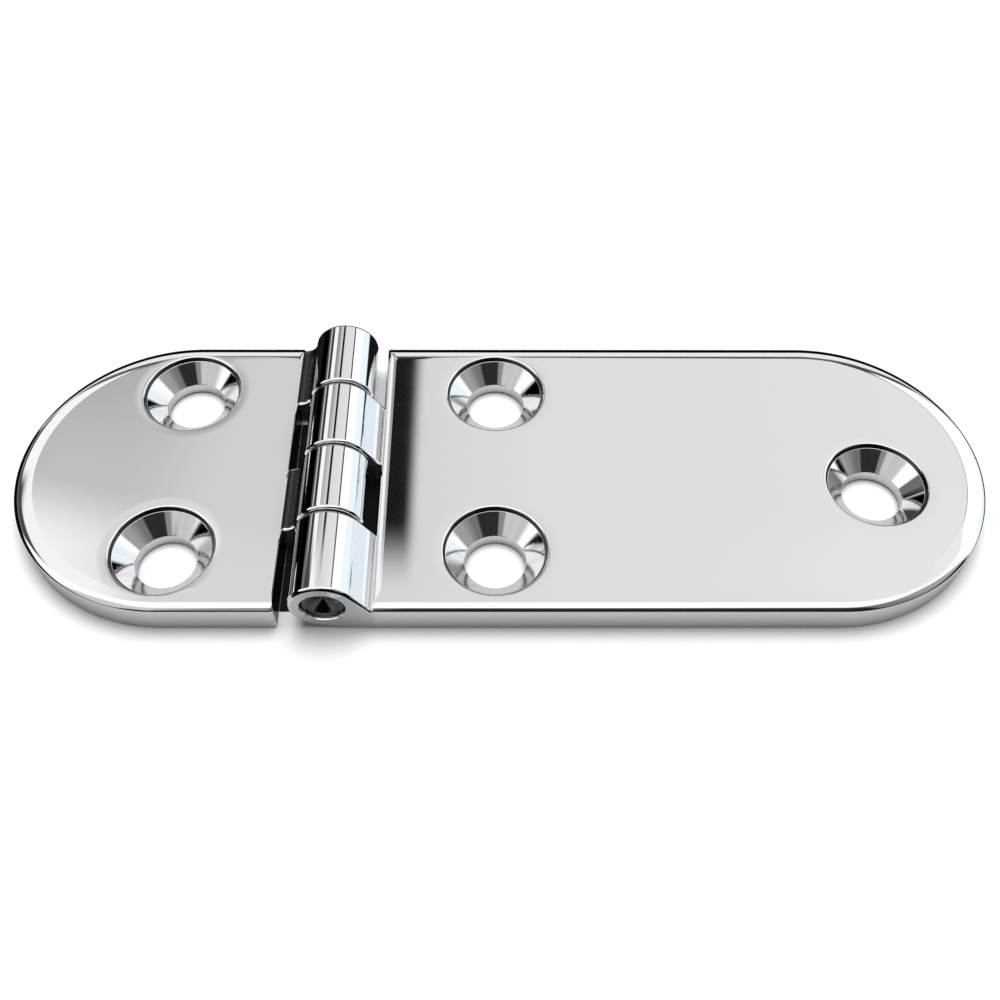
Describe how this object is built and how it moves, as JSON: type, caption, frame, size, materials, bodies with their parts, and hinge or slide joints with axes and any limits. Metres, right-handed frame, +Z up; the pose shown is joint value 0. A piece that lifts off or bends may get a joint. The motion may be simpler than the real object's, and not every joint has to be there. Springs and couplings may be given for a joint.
{
  "type": "strap hinge",
  "caption": "Cast, mirror-polished strap hinge with a short and a long round-ended leaf, countersunk for screws and joined by a pin through alternating knuckles.",
  "frame": {"origin": "middle of the open hinge's footprint, on the mounting plane under both leaves", "axes": "+X from the short leaf to the long leaf, Y along the pin with the short leaf's end knuckle at +Y and the long leaf's at -Y, +Z up out of the countersunk faces"},
  "size_m": [0.112, 0.038, 0.008],
  "materials": {
    "polished_steel": "mirror-polished cast stainless steel",
    "pin_steel": "drawn stainless rod, dull, with a punched cone in each end"
  },
  "bodies": {
    "long_leaf": {"long_leaf": "polished_steel", "hinge_pin": "pin_steel"},
    "short_leaf": {"short_leaf": "polished_steel"}
  },
  "joints": [
    {"name": "leaf_fold", "type": "hinge", "parent": "long_leaf", "child": "short_leaf", "pos_m": [-0.019, 0, 0.00415], "axis": [0, 1, 0], "range_deg": [-90, 180]}
  ]
}
